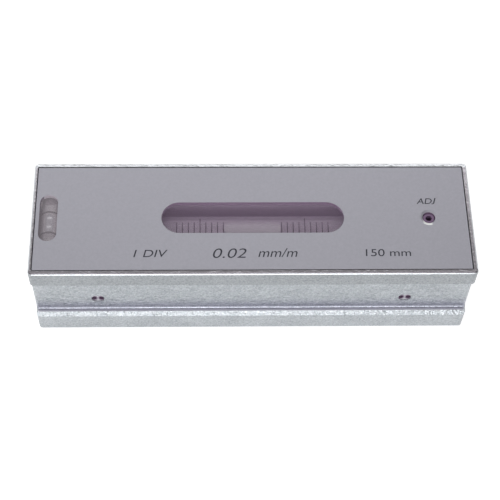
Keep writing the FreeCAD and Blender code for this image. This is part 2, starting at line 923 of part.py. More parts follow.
def make_set_screws():
    # Pin-face set screws from both sides: pivots with a turned tip, guides with a flat end.
    outer_end = waist - size["set_screw_recess"]
    inner_end = lug_half + size["side_play"]
    radius = size["set_screw_diameter"] / 2 - size["thread_play"]
    tip = size["pivot_tip_diameter"] / 2
    tip_end = inner_end - size["pivot_tip_length"]
    for side, place in ((-1, "front"), (1, "rear")):
        for kind, x in (("pivot", pivot_x), ("guide", guide_x)):
            profile = [(0, outer_end * side), (radius, outer_end * side), (radius, inner_end * side)]
            if kind == "pivot":
                profile.append((tip, inner_end * side))
                profile.append((tip, tip_end * side))
                profile.append((0, tip_end * side))
            else:
                profile.append((0, inner_end * side))
            body = turned_across(f"{kind}_screw_{place}", x, screw_height, profile)
            # The two pin holes are cut inwards from the screw's end, on a plane that faces -Y.
            holes = sketch_on(body, "XZ_Plane", "pin_holes", (zero, zero, -outer_end * side))
            for hole_side in (-1, 1):
                hole_x = x + size["pin_hole_offset"] * hole_side
                draw_circle(holes, hole_x, screw_height, size["pin_hole_diameter"])
            pocket(body, holes, size["pin_hole_depth"] * 2, symmetric=True)


def make_adjusting_screw():
    # A key end in the plate's hole, a head on the bridge, a groove for the clip, then the thread.
    seat = bridge_seat + size["bridge_thickness"]
    radius = size["adjuster_diameter"] / 2
    head = size["adjuster_head_diameter"] / 2
    groove = size["groove_diameter"] / 2
    groove_top = bridge_seat
    groove_bottom = groove_top - size["clip_thickness"] - size["axial_play"] * 2
    head_top = seat + size["adjuster_head_height"]
    key_end = size["key_end_diameter"] / 2
    key_top = plate_top - size["key_end_below_plate"]
    body = turned_upright(
        "adjusting_screw",
        adjuster_x,
        zero,
        [
            (0, top * size["adjuster_end_share"]),
            (radius, top * size["adjuster_end_share"]),
            (radius, groove_bottom),
            (groove, groove_bottom),
            (groove, groove_top),
            (radius, groove_top),
            (radius, seat + size["axial_play"]),
            (head, seat + size["axial_play"]),
            (head, head_top),
            (key_end, head_top),
            (key_end, key_top),
            (0, key_top),
        ],
    )
    socket = sketch_on(body, "XY_Plane", "socket", (zero, zero, key_top))
    draw_hexagon(socket, adjuster_x, zero, size["adjuster_socket"])
    pocket(body, socket, size["adjuster_socket_depth"])
    return body


def make_retaining_clip():
    body = new_body("retaining_clip")
    bottom = bridge_seat - size["axial_play"] - size["clip_thickness"]
    ring = sketch_on(body, "XY_Plane", "ring", (zero, zero, bottom))
    draw_circle(ring, adjuster_x, 0, size["clip_diameter"])
    pad(body, ring, size["clip_thickness"])
    bore = sketch_on(body, "XY_Plane", "bore", (zero, zero, bottom + size["clip_thickness"]))
    draw_circle(bore, adjuster_x, 0, size["groove_diameter"] + size["thread_play"] * 2)
    pocket(body, bore, size["clip_thickness"] * 2)
    opening = sketch_on(body, "XY_Plane", "opening", (zero, zero, bottom + size["clip_thickness"]))
    half = size["clip_opening"] / 2
    draw_rectangle(opening, adjuster_x, adjuster_x + size["clip_diameter"], -half, half)
    pocket(body, opening, size["clip_thickness"] * 2)
    return body


def make_adjuster_nut():
    half = size["nut_length"] / 2
    radius = size["nut_diameter"] / 2
    body = turned_across(
        "adjuster_nut",
        adjuster_x,
        screw_height,
        [(0, -half), (radius, -half), (radius, half), (0, half)],
    )
    bore = sketch_on(body, "XY_Plane", "bore", (zero, zero, screw_height))
    draw_circle(
        bore, adjuster_x, 0, size["adjuster_diameter"] + size["running_clearance"] * 2
    )
    pocket(body, bore, size["nut_diameter"] * 2, symmetric=True)
    return body


def make_adjuster_bridge():
    body = new_body("adjuster_bridge")
    half_x = size["bridge_length"] / 2
    half_y = upper_chamber_width / 2 - size["side_play"]
    outline = sketch_on(body, "XY_Plane", "outline", (zero, zero, bridge_seat))
    draw_rectangle(outline, adjuster_x - half_x, adjuster_x + half_x, -half_y, half_y)
    pad(body, outline, size["bridge_thickness"])
    holes = sketch_on(
        body, "XY_Plane", "holes", (zero, zero, bridge_seat + size["bridge_thickness"])
    )
    draw_circle(
        holes, adjuster_x, 0, size["adjuster_diameter"] + size["running_clearance"] * 2
    )
    for side in (-1, 1):
        draw_circle(
            holes,
            adjuster_x,
            bridge_screw_y * side,
            size["bridge_screw_diameter"] + size["running_clearance"] * 2,
        )
    pocket(body, holes)
    return body


def make_backlash_spring():
    # A helix of flat wire between the lug and the bridge; its wire rests on both.
    body = new_body("backlash_spring")
    outer = size["spring_diameter"] / 2
    bottom = lug_top + size["thread_play"]
    wire_height = size["spring_wire_height"]
    reach = bridge_seat - lug_top - wire_height - size["thread_play"] * 2
    section = sketch_on(body, "XZ_Plane", "section", (adjuster_x, zero, zero))
    draw_rectangle(
        section, outer - size["spring_wire_width"], outer, bottom, bottom + wire_height
    )
    helix = body.newObject("PartDesign::AdditiveHelix", "backlash_spring_helix")
    helix.Profile = section
    helix.ReferenceAxis = (section, ["V_Axis"])
    helix.Mode = "height-turns-angle"
    bind(helix, "Height", reach)
    bind(helix, "Turns", size["spring_turns"])
    section.Visibility = False
    document.recompute()
    return body


def make_cross_bed(label, side):
    # A block of plaster in the end of the cross pocket, with the vial's end set into it.
    body = new_body(label)
    half_x = size["cross_pocket_width"] / 2 - size["cross_bed_side_gap"]
    outer_end = cross_pocket_length / 2 - size["cross_bed_side_gap"]
    inner_end = cross_vial_length / 2 - size["cross_bed_overlap"]
    near_y, far_y = (inner_end, outer_end) if side > 0 else (-outer_end, -inner_end)
    outline = sketch_on(body, "XY_Plane", "outline", (zero, zero, cross_floor))
    draw_rectangle(outline, cross_x - half_x, cross_x + half_x, near_y, far_y)
    pad(body, outline, size["cross_bed_height"])

    dress_edges(
        body,
        "Fillet",
        "corners",
        size["cross_pocket_corner"],
        upright_edge(half_x, outer_end, cross_x),
    )
    seat = sketch_on(body, "XZ_Plane", "seat")
    draw_circle(seat, cross_x, cross_height, size["cross_vial_diameter"] + size["cement_gap"] * 2)
    seat_length = cross_vial_length + size["cement_gap"] * 2
    pocket(body, seat, seat_length, symmetric=True)
    return body


make_level_body()
make_cover_plate()
make_pane(
    "main_window", zero, window_length, size["window_width"], size["pane_overlap"], True
)
make_pane(
    "cross_window",
    cross_x,
    size["cross_window_length"],
    size["cross_window_width"],
    size["cross_pane_overlap"],
    False,
)
make_main_vial()
make_main_plugs()
make_spirit(
    "main_spirit",
    vial_length - size["vial_plug_length"] * 2,
    bore_radius,
    size["bubble_depth"],
    zero,
    vial_height,
    True,
)
make_bubble(
    "main_bubble",
    size["bubble_length"],
    size["bubble_width"],
    size["bubble_depth"],
    bore_radius,
    zero,
    vial_height,
    True,
)
make_cross_vial()
make_spirit(
    "cross_spirit",
    cross_vial_length - size["cross_plug_length"] * 2,
    cross_bore,
    size["cross_bubble_depth"],
    cross_x,
    cross_height,
    False,
)
make_bubble(
    "cross_bubble",
    size["cross_bubble_length"],
    size["cross_bubble_width"],
    size["cross_bubble_depth"],
    cross_bore,
    cross_x,
    cross_height,
    False,
)
for label, side in (("cross_bed_front", -1), ("cross_bed_rear", 1)):
    make_cross_bed(label, side)
make_vial_carrier()
for label, side in (("vial_bed_left", -1), ("vial_bed_right", 1)):
    make_vial_bed(label, side)
make_set_screws()
make_adjusting_screw()
make_retaining_clip()
make_adjuster_nut()
make_adjuster_bridge()
make_backlash_spring()
for end, y_side in (("front", -1), ("rear", 1)):
    headed_screw(
        f"bridge_screw_{end}",
        adjuster_x,
        bridge_screw_y * y_side,
        bridge_seat + size["bridge_thickness"],
        size["bridge_screw_diameter"],
        size["bridge_screw_length"],
        size["bridge_head_diameter"],
        size["bridge_head_height"],
    )

# Every object has to be sound before anything is written.
document.recompute()
for feature in document.Objects:
    for word in ("Invalid", "Error"):
        if word in feature.State:
            raise ValueError(f"{feature.Label} is {feature.State}")
for piece in parts:
    if piece.Shape.isNull() or not piece.Shape.isValid():
        raise ValueError(f"{piece.Label} has no sound shape")
    if len(piece.Shape.Solids) != 1:
        raise ValueError(f"{piece.Label} has {len(piece.Shape.Solids)} solids")

os.makedirs("parts", exist_ok=True)
for piece in parts:
    piece.Shape.exportStep(f"parts/{piece.Label}.step")
    box = piece.Shape.BoundBox
    print(
        f"{piece.Label}: volume {piece.Shape.Volume:.2f}, "
        f"x {box.XMin:.2f} to {box.XMax:.2f}, y {box.YMin:.2f} to {box.YMax:.2f}, "
        f"z {box.ZMin:.2f} to {box.ZMax:.2f}"
    )
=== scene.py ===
import json
import math

import bmesh
import bpy
import numpy as np
from mathutils import Matrix, Vector


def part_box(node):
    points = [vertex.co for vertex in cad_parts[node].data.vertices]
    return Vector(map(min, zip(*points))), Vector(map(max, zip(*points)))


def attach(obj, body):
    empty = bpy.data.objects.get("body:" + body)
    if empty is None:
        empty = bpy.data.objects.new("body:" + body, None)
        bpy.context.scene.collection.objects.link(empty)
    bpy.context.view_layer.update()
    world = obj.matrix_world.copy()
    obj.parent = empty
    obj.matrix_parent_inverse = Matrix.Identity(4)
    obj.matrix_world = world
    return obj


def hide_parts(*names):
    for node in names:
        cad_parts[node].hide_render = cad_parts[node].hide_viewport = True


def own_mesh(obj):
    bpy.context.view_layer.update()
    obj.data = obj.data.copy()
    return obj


# Finishes, markings, light and camera for a 150 mm bench precision level.
# Lengths are in metres. X runs along the level, Y across it and Z up.
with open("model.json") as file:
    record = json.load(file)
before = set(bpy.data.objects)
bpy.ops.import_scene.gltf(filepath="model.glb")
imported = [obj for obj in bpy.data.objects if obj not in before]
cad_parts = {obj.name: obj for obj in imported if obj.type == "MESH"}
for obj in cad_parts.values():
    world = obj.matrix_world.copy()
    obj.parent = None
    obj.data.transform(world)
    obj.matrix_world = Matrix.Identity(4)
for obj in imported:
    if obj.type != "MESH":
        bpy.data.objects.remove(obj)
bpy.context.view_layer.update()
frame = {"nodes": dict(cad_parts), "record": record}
nodes = frame["nodes"]
mm = 0.001


# Helpers for shader trees
def newMaterial(name):
    material = bpy.data.materials.new(name)
    material.use_nodes = True
    material.node_tree.nodes.clear()
    return material


def addNode(tree, kind, inputs=None, **settings):
    # A shader node whose inputs are given as values or as sockets to link.
    node = tree.nodes.new("ShaderNode" + kind)
    for name, value in settings.items():
        setattr(node, name, value)
    for key, value in (inputs or {}).items():
        if isinstance(value, bpy.types.NodeSocket):
            tree.links.new(value, node.inputs[key])
        else:
            node.inputs[key].default_value = value
    return node


def maths(tree, operation, first, second=0.0, third=0.0):
    node = addNode(tree, "Math", {0: first, 1: second, 2: third}, operation=operation)
    return node.outputs[0]


def blendColours(tree, factor, first, second, kind="MIX"):
    node = addNode(
        tree,
        "Mix",
        {"Factor": factor, 6: first, 7: second},
        data_type="RGBA",
        blend_type=kind,
    )
    return node.outputs[2]


def multiplyColour(tree, factor, first, second):
    return blendColours(tree, factor, first, second, "MULTIPLY")


def ramp(tree, value, start, end, atStart=0.0, atEnd=1.0):
    # Runs from atStart to atEnd while the value goes from start to end, and is level outside.
    node = addNode(
        tree,
        "MapRange",
        {
            "Value": value,
            "From Min": start,
            "From Max": end,
            "To Min": atStart,
            "To Max": atEnd,
        },
    )
    return node.outputs[0]


def spread(tree, noise, low=0.3, high=0.7):
    # Stretches the middle of a noise, from low to high, over 0 to 1.
    return ramp(tree, noise, low, high)


def product(tree, first, *others):
    # All the masks multiplied, so 1 only where each of them is 1.
    for other in others:
        first = maths(tree, "MULTIPLY", first, other)
    return first


def within(tree, value, reach, middle=0.0):
    # 1 where the value lies less than reach from the middle, and 0 elsewhere.
    offset = maths(tree, "ABSOLUTE", maths(tree, "SUBTRACT", value, middle))
    return maths(tree, "LESS_THAN", offset, reach)


def squaredDistance(tree, along, across):
    return maths(tree, "MULTIPLY_ADD", along, along, maths(tree, "MULTIPLY", across, across))


def readAxes(tree, space="Object"):
    # The three coordinates of a point, unless told otherwise in the piece's own space.
    place = addNode(tree, "TexCoord")
    return addNode(tree, "SeparateXYZ", {0: place.outputs[space]}).outputs


def setOutput(tree, shader):
    output = tree.nodes.new("ShaderNodeOutputMaterial")
    tree.links.new(shader, output.inputs["Surface"])


def coat(material, inputs):
    # Ends a material with one principled surface that has these inputs.
    surface = addNode(material.node_tree, "BsdfPrincipled", inputs)
    setOutput(material.node_tree, surface.outputs[0])
    return material


def colour(red, green, blue):
    # A colour written as 0 to 255 on the screen, turned into the renderer's linear values.
    linear = []
    for part in (red, green, blue):
        share = part / 255
        if share <= 0.04045:
            linear.append(share / 12.92)
        else:
            linear.append(((share + 0.055) / 1.055) ** 2.4)
    return (*linear, 1.0)


def darken(shade, keep):
    return tuple(part * keep for part in shade[:3]) + (1.0,)


# How rough the finest part of each noise is
grainRoughness = 0.6


def makeGrainGroup():
    # Noise on the piece's own coordinates, with its scale in cells per millimetre.
    group = bpy.data.node_groups.new("grain", "ShaderNodeTree")
    face = group.interface
    face.new_socket("Scale", in_out="INPUT", socket_type="NodeSocketFloat")
    face.new_socket("Detail", in_out="INPUT", socket_type="NodeSocketFloat")
    face.new_socket("Value", in_out="OUTPUT", socket_type="NodeSocketFloat")
    face.new_socket("Tint", in_out="OUTPUT", socket_type="NodeSocketColor")
    start = group.nodes.new("NodeGroupInput")
    end = group.nodes.new("NodeGroupOutput")
    place = addNode(group, "TexCoord")
    inMillimetres = addNode(
        group, "VectorMath", {0: place.outputs["Object"], "Scale": 1 / mm}, operation="SCALE"
    )
    noise = addNode(
        group,
        "TexNoise",
        {
            "Vector": inMillimetres.outputs[0],
            "Scale": start.outputs["Scale"],
            "Detail": start.outputs["Detail"],
            "Roughness": grainRoughness,
        },
    )
    group.links.new(noise.outputs["Fac"], end.inputs["Value"])
    group.links.new(noise.outputs["Color"], end.inputs["Tint"])
    return group


grainGroup = makeGrainGroup()


def grain(tree, scaleAndDetail):
    # The pair holds cells per millimetre and how many finer layers lie over them.
    scale, detail = scaleAndDetail
    node = addNode(tree, "Group", node_tree=grainGroup)
    node.inputs["Scale"].default_value = scale
    node.inputs["Detail"].default_value = detail
    return node


# Finish of the cast body. Heights are above the base, and reaches, drops and margins
# widen or narrow the part of the casting that a tone is for.
castIron = {
    "dark": colour(130, 135, 141),
    "light": colour(209, 214, 218),
    "metallic": 0.65,
    "roughness": 0.30,
    "pebbles": (1.3, 3.0),
    "flecks": (2.4, 1.0),
    "blotches": (0.16, 2.0),
    "pebbleShare": 0.42,
    "fleckShare": 0.42,
    "blotchShare": 0.16,
    "tint": 0.05,
    "pebbleHeight": 0.2 * mm,
    "dents": (0.6, 1.0),
    "dentHeight": 0.3 * mm,
    "smoothing": 0.8,
    "flangeFrom": 30.1 * mm,
    "flangeShade": colour(223, 223, 223),
    "footFrom": 16.5 * mm,
    "footTo": 11.5 * mm,
    "footShade": colour(241, 238, 248),
    "ledgeHeight": 10.0 * mm,
    "ledgeReach": 0.05 * mm,
    "ledgeColour": colour(196, 196, 206),
    "filletRise": 1.1 * mm,
    "filletShade": colour(228, 225, 236),
    "skinDepth": 0.02 * mm,
    "edgeDrop": 0.55 * mm,
    "edgeHighlightShare": 0.45,
    "edgeHighlight": colour(234, 237, 240),
    "edgeLineDrop": 0.22 * mm,
    "edgeLineShade": colour(84, 80, 86),
    "rimColour": colour(172, 168, 174),
    "backRimHighlight": colour(208, 210, 214),
    "rimRoughness": 0.14,
    "gapReach": 0.3 * mm,
    "gap": colour(52, 54, 62),
    "wallMargin": 0.4 * mm,
    "floorMargin": 2.0 * mm,
    "well": colour(226, 206, 228),
    "crossMargin": 2.0 * mm,
    "crossWellLit": colour(252, 246, 250),
    "shadowStart": 3.0 * mm,
    "crossShade": colour(84, 62, 90),
}


def makeCastIron():
    look = castIron
    material = newMaterial("cast_iron_ground")
    tree = material.node_tree
    x, y, z = readAxes(tree)
    low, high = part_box("cover_plate")
    pebbles = grain(tree, look["pebbles"])
    flecks = grain(tree, look["flecks"])
    blotches = grain(tree, look["blotches"])
    coarse = spread(tree, pebbles.outputs["Value"])
    fine = spread(tree, flecks.outputs["Value"])
    broad = spread(tree, blotches.outputs["Value"])
    mixed = maths(tree, "MULTIPLY", coarse, look["pebbleShare"])
    mixed = maths(tree, "MULTIPLY_ADD", fine, look["fleckShare"], mixed)
    mixed = maths(tree, "MULTIPLY_ADD", broad, look["blotchShare"], mixed)
    skin = blendColours(tree, mixed, look["dark"], look["light"])
    toned = blendColours(tree, look["tint"], skin, pebbles.outputs["Tint"])
    # The flange is a little darker than the waist.
    flange = maths(tree, "GREATER_THAN", z, look["flangeFrom"])
    toned = multiplyColour(tree, flange, toned, look["flangeShade"])
    # Painted shade: the foot of the waist is a little darker and bluer, down to the fillet,
    # where the ledge shades it.
    foot = ramp(tree, z, look["footFrom"], look["footTo"])
    overFillet = maths(tree, "GREATER_THAN", z, look["ledgeHeight"] + look["filletRise"])
    toned = multiplyColour(tree, product(tree, foot, overFillet), toned, look["footShade"])
    # The flat of the ledge faces the dark underside of the flange, and is duller.
    fromLedge = maths(tree, "SUBTRACT", z, look["ledgeHeight"])
    ledge = within(tree, fromLedge, look["ledgeReach"])
    toned = blendColours(tree, ledge, toned, look["ledgeColour"])
    # The fillet over the ledge is painted a little darker, as painted shade over its highlight,
    # and the chamfer round the top is painted paler, as a painted highlight.
    halfRise = look["filletRise"] / 2
    fillet = within(tree, fromLedge, halfRise, halfRise)
    toned = multiplyColour(tree, fillet, toned, look["filletShade"])
    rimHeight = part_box("level_body")[1].z - look["skinDepth"]
    topEdge = maths(tree, "GREATER_THAN", z, rimHeight - look["edgeDrop"])
    paintedHighlight = maths(tree, "MULTIPLY", topEdge, look["edgeHighlightShare"])
    toned = blendColours(tree, paintedHighlight, toned, look["edgeHighlight"])
    # Along the front, the upper edge of that chamfer has a thin dark line of painted shade.
    upperEdge = maths(tree, "GREATER_THAN", z, rimHeight - look["edgeLineDrop"])
    atFront = maths(tree, "LESS_THAN", y, low.y)
    toned = blendColours(tree, product(tree, upperEdge, atFront), toned, look["edgeLineShade"])
    # The rim round the plate is ground flat and smoother than the casting, and at the back it
    # is painted paler, as a painted reflection of the light.
    rim = maths(tree, "GREATER_THAN", z, rimHeight)
    atBack = maths(tree, "GREATER_THAN", y, high.y)
    rimShown = blendColours(tree, atBack, look["rimColour"], look["backRimHighlight"])
    outside = blendColours(tree, rim, toned, rimShown)
    # The gap round the plate is the part of the recess that lies outside the plate, painted
    # dark as painted shade.
    ceiling = low.z - look["skinDepth"]
    gapX = within(tree, x, (high.x - low.x) / 2 + look["gapReach"], (low.x + high.x) / 2)
    gapY = within(tree, y, high.y + look["gapReach"])
    overCeiling = maths(tree, "GREATER_THAN", z, ceiling)
    underTop = maths(tree, "LESS_THAN", z, high.z)
    gap = product(tree, gapX, gapY, overCeiling, underTop)
    outside = blendColours(tree, gap, outside, look["gap"])
    # The chamber under the plate is the part of the casting within these walls.
    wellX = within(tree, x, high.x)
    wellY = within(tree, y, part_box("adjuster_bridge")[1].y + look["wallMargin"])
    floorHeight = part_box("vial_carrier")[0].z - look["floorMargin"]
    overFloor = maths(tree, "GREATER_THAN", z, floorHeight)
    underCeiling = maths(tree, "LESS_THAN", z, ceiling)
    well = product(tree, wellX, wellY, overFloor, underCeiling)
    # Beside the cross vial its walls are painted paler, as painted light, apart from the left
    # end, which is painted dark as painted shadow.
    vialLow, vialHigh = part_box("cross_vial")
    besideCross = maths(tree, "LESS_THAN", x, vialHigh.x + look["crossMargin"])
    shadowedEnd = maths(tree, "LESS_THAN", x, (vialLow.x + vialHigh.x) / 2 - look["shadowStart"])
    crossInside = blendColours(tree, shadowedEnd, look["crossWellLit"], look["crossShade"])
    inside = blendColours(tree, besideCross, look["well"], crossInside)
    shown = blendColours(tree, well, outside, inside)
    # The chamber, the gap and the flat of the ledge don't shine.
    dull = maths(tree, "MAXIMUM", maths(tree, "MAXIMUM", well, gap), ledge)
    metallic = maths(tree, "MULTIPLY_ADD", dull, -look["metallic"], look["metallic"])
    rimChange = look["rimRoughness"] - look["roughness"]
    roughness = maths(tree, "MULTIPLY_ADD", rim, rimChange, look["roughness"])
    # The chamfer and the fillet have less relief, so that their highlights are even lines.
    smooth = maths(tree, "MAXIMUM", topEdge, fillet)
    bumpStrength = maths(tree, "MULTIPLY_ADD", smooth, -look["smoothing"], 1.0)
    dents = grain(tree, look["dents"]).outputs["Value"]
    dentShare = look["dentHeight"] / look["pebbleHeight"]
    relief = maths(tree, "MULTIPLY_ADD", dents, dentShare, pebbles.outputs["Value"])
    bump = addNode(
        tree,
        "Bump",
        {"Strength": bumpStrength, "Distance": look["pebbleHeight"], "Height": relief},
    )
    return coat(
        material,
        {
            "Base Color": shown,
            "Metallic": metallic,
            "Roughness": roughness,
            "Normal": bump.outputs[0],
        },
    )


# Finish of the cover plate
plateFinish = {
    "dark": colour(170, 169, 178),
    "light": colour(176, 175, 184),
    "metallic": 0.6,
    "roughness": 0.42,
    "grain": (1.2, 3.0),
    "uprightBelow": 0.1,
    "outerReach": 0.9 * mm,
    "outerWallShade": colour(52, 54, 62),
    "endWallShade": colour(128, 106, 132),
    "backWallShade": colour(136, 114, 138),
    "crossMargin": 2.0 * mm,
    "crossWallLit": colour(206, 198, 208),
    "rightAbove": 0.6,
    "crossShade": colour(74, 54, 80),
    "sink": colour(252, 254, 252),
    "sinkReach": 3.2 * mm,
    "sinkHalfLength": 1.2 * mm,
    "sinkFade": 0.6 * mm,
    "sinkShift": -0.5 * mm,
}


def makePlateFinish():
    look = plateFinish
    material = newMaterial("plate_satin")
    tree = material.node_tree
    x, y = readAxes(tree)[:2]
    low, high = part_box("cover_plate")
    satin = grain(tree, look["grain"])
    shown = blendColours(
        tree, spread(tree, satin.outputs["Value"]), look["dark"], look["light"]
    )
    # Upright faces are the plate's outer walls and the walls of its openings, painted darker as
    # painted shade, the ends of the openings darker than their sides.
    form = addNode(tree, "NewGeometry")
    facing = addNode(tree, "SeparateXYZ", {0: form.outputs["True Normal"]}).outputs
    upright = within(tree, facing[2], look["uprightBelow"])
    acrossness = maths(tree, "ABSOLUTE", facing[1])
    inner = blendColours(tree, acrossness, look["endWallShade"], look["backWallShade"])
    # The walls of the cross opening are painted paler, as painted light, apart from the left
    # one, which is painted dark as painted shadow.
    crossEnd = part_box("cross_vial")[1].x + look["crossMargin"]
    besideCross = maths(tree, "LESS_THAN", x, crossEnd)
    facesRight = maths(tree, "GREATER_THAN", facing[0], look["rightAbove"])
    crossInner = blendColours(tree, facesRight, look["crossWallLit"], look["crossShade"])
    inner = blendColours(tree, besideCross, inner, crossInner)
    fromMiddle = maths(tree, "ABSOLUTE", maths(tree, "SUBTRACT", x, (low.x + high.x) / 2))
    farX = maths(tree, "GREATER_THAN", fromMiddle, (high.x - low.x) / 2 - look["outerReach"])
    farY = maths(tree, "GREATER_THAN", maths(tree, "ABSOLUTE", y), high.y - look["outerReach"])
    walls = blendColours(tree, maths(tree, "MAXIMUM", farX, farY), inner, look["outerWallShade"])
    # A painted highlight: a bright crescent on the front edge of the countersink, where it
    # reflects the light.
    screwLow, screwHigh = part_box("adjusting_screw")
    fromScrew = maths(tree, "SUBTRACT", x, (screwLow.x + screwHigh.x) / 2)
    fromCrescent = maths(tree, "SUBTRACT", fromScrew, look["sinkShift"])
    fullTo = look["sinkHalfLength"]
    crescent = ramp(
        tree, maths(tree, "ABSOLUTE", fromCrescent), fullTo, fullTo + look["sinkFade"], 1.0, 0.0
    )
    squared = squaredDistance(tree, fromScrew, y)
    near = maths(tree, "LESS_THAN", squared, look["sinkReach"] ** 2)
    inFront = maths(tree, "LESS_THAN", y, 0.0)
    crescentHighlight = product(tree, crescent, near, inFront)
    top = blendColours(tree, crescentHighlight, shown, look["sink"])
    shaded = blendColours(tree, upright, top, walls)
    metallic = maths(tree, "MULTIPLY_ADD", upright, -look["metallic"], look["metallic"])
    metallic = maths(tree, "MULTIPLY", metallic, maths(tree, "SUBTRACT", 1.0, crescentHighlight))
    return coat(
        material, {"Base Color": shaded, "Metallic": metallic, "Roughness": look["roughness"]}
    )


# Plain finishes, one line each: colour, metallic, roughness
plainFinishes = {
    "cradle_metal": (colour(206, 188, 210), 0.0, 0.5),
    "plaster": (colour(240, 234, 236), 0.0, 0.85),
    "steel": (colour(150, 150, 154), 0.9, 0.35),
    "spring_steel": (colour(120, 120, 126), 0.9, 0.35),
    "dark_steel": (colour(128, 104, 134), 0.3, 0.4),
    "brass": (colour(196, 160, 96), 0.9, 0.35),
    "plug": (colour(134, 120, 130), 0.0, 0.6),
}

# Wear on the plain finishes and the screws, as a drift towards a darker colour
wear = {"patches": (0.9, 3.0), "keep": 0.88}


def makeWorn(tree, shade):
    patches = grain(tree, wear["patches"])
    return blendColours(tree, patches.outputs["Value"], darken(shade, wear["keep"]), shade)


def makePlainFinish(name):
    shade, metallic, roughness = plainFinishes[name]
    material = newMaterial(name + "_finish")
    shown = makeWorn(material.node_tree, shade)
    return coat(material, {"Base Color": shown, "Metallic": metallic, "Roughness": roughness})


# End faces of the set screws, with pin holes and painted shade in and round them
screwFinish = {
    "face": colour(196, 196, 202),
    "hole": colour(158, 134, 160),
    "ringShade": colour(112, 90, 114),
    "holeOffset": 1.27 * mm,
    "ringShadeFrom": 0.84 * mm,
    "ringShadeTo": 1.44 * mm,
    "ringShadeFlatness": 0.75,
    "faceDepth": 0.15 * mm,
    "metallic": 0.6,
    "roughness": 0.4,
}


def makeScrewFinish(node):
    look = screwFinish
    material = newMaterial(node + "_finish")
    tree = material.node_tree
    x, y, z = readAxes(tree)
    low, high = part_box(node)
    # Whatever lies deeper than the end face is the inside of a pin hole or the thread, painted
    # darker as painted shade.
    deep = within(tree, y, -low.y - look["faceDepth"])
    # Painted shade darkens the end round each pin hole, a little further upright than along.
    along = maths(tree, "SUBTRACT", x, (low.x + high.x) / 2)
    along = maths(tree, "SUBTRACT", maths(tree, "ABSOLUTE", along), look["holeOffset"])
    up = maths(tree, "SUBTRACT", z, (low.z + high.z) / 2)
    up = maths(tree, "MULTIPLY", up, look["ringShadeFlatness"])
    fromHole = maths(tree, "SQRT", squaredDistance(tree, up, along))
    ringShade = ramp(tree, fromHole, look["ringShadeFrom"], look["ringShadeTo"], 1.0, 0.0)
    ringShaded = blendColours(tree, ringShade, makeWorn(tree, look["face"]), look["ringShade"])
    shown = blendColours(tree, deep, ringShaded, look["hole"])
    return coat(
        material,
        {"Base Color": shown, "Metallic": look["metallic"], "Roughness": look["roughness"]},
    )


# Clear and half-clear pieces: colour, share that shows face on and edge on, roughness
clearFinishes = {
    "window_pane": (colour(206, 182, 212), 0.11, 0.18, 0.05),
    "cross_pane": (colour(230, 220, 230), 0.16, 0.26, 0.05),
    "vial_glass": (colour(250, 240, 252), 0.12, 0.9, 0.12),
    "spirit": (colour(250, 238, 252), 0.9, 1.0, 0.3),
    "bubble": (colour(255, 254, 255), 0.97, 1.0, 0.25),
    "cross_glass": (colour(246, 240, 246), 0.12, 0.75, 0.08),
    "cross_liquid": (colour(255, 252, 254), 0.9, 1.0, 0.3),
    "cross_air": (colour(172, 178, 186), 0.95, 1.0, 0.06),
}

# Faint clouds in the clear pieces, and how soon they turn from face on to edge on
clearness = {"clouds": (0.3, 2.0), "keep": 0.94, "turn": 0.35}

# Clear pieces with painted shade that darkens along an axis: the axis, where the shade starts
# and where it is full, and the colour that is left there
clearPaintedShades = {
    "bubble": (1, -0.6 * mm, -2.9 * mm, (0.66, 0.6402, 0.66, 1.0)),
    "spirit": (0, 0.0 * mm, 14.0 * mm, (0.76, 0.7372, 0.76, 1.0)),
}

# The two soft painted highlights near the ends of the cross vial's bubble, which glow faintly
crossGlints = {
    "places": (2.1 * mm, -1.4 * mm),
    "halfWidth": 1.0 * mm,
    "halfLength": 0.45 * mm,
    "fullTo": 0.3,
    "goneFrom": 1.3,
    "shine": 0.36,
    "dark": (0.0, 0.0, 0.0, 1.0),
    "bright": (1.0, 1.0, 1.0, 1.0),
}


def makeCrossGlints(tree):
    # Two painted highlights as ellipses on the bubble, whose glow fades with the squared
    # distance from the middle.
    look = crossGlints
    x, y = readAxes(tree)[:2]
    low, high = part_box("cross_bubble")
    across = maths(tree, "SUBTRACT", x, (low.x + high.x) / 2)
    across = maths(tree, "DIVIDE", across, look["halfWidth"])
    shine = 0.0
    for place in look["places"]:
        along = maths(tree, "SUBTRACT", y, (low.y + high.y) / 2 + place)
        along = maths(tree, "DIVIDE", along, look["halfLength"])
        squared = squaredDistance(tree, along, across)
        glint = ramp(tree, squared, look["fullTo"], look["goneFrom"], 1.0, 0.0)
        shine = maths(tree, "MULTIPLY_ADD", glint, look["shine"], shine)
    return blendColours(tree, shine, look["dark"], look["bright"])


def makeClearFinish(name):
    shade, faceOn, edgeOn, roughness = clearFinishes[name]
    material = newMaterial(name + "_clear")
    tree = material.node_tree
    clouds = grain(tree, clearness["clouds"])
    cloudy = darken(shade, clearness["keep"])
    shown = blendColours(tree, clouds.outputs["Value"], cloudy, shade)
    # Painted shade, darker along one axis
    if name in clearPaintedShades:
        axis, start, end, left = clearPaintedShades[name]
        fading = ramp(tree, readAxes(tree)[axis], start, end)
        shown = multiplyColour(tree, fading, shown, left)
    facing = addNode(tree, "LayerWeight", {"Blend": clearness["turn"]})
    share = ramp(tree, facing.outputs["Facing"], 0.0, 1.0, faceOn, edgeOn)
    inputs = {"Base Color": shown, "Roughness": roughness, "Alpha": share}
    # The cross bubble's painted highlights glow through its emission.
    if name == "cross_air":
        inputs["Emission Color"] = makeCrossGlints(tree)
        inputs["Emission Strength"] = 1.0
    return coat(material, inputs)


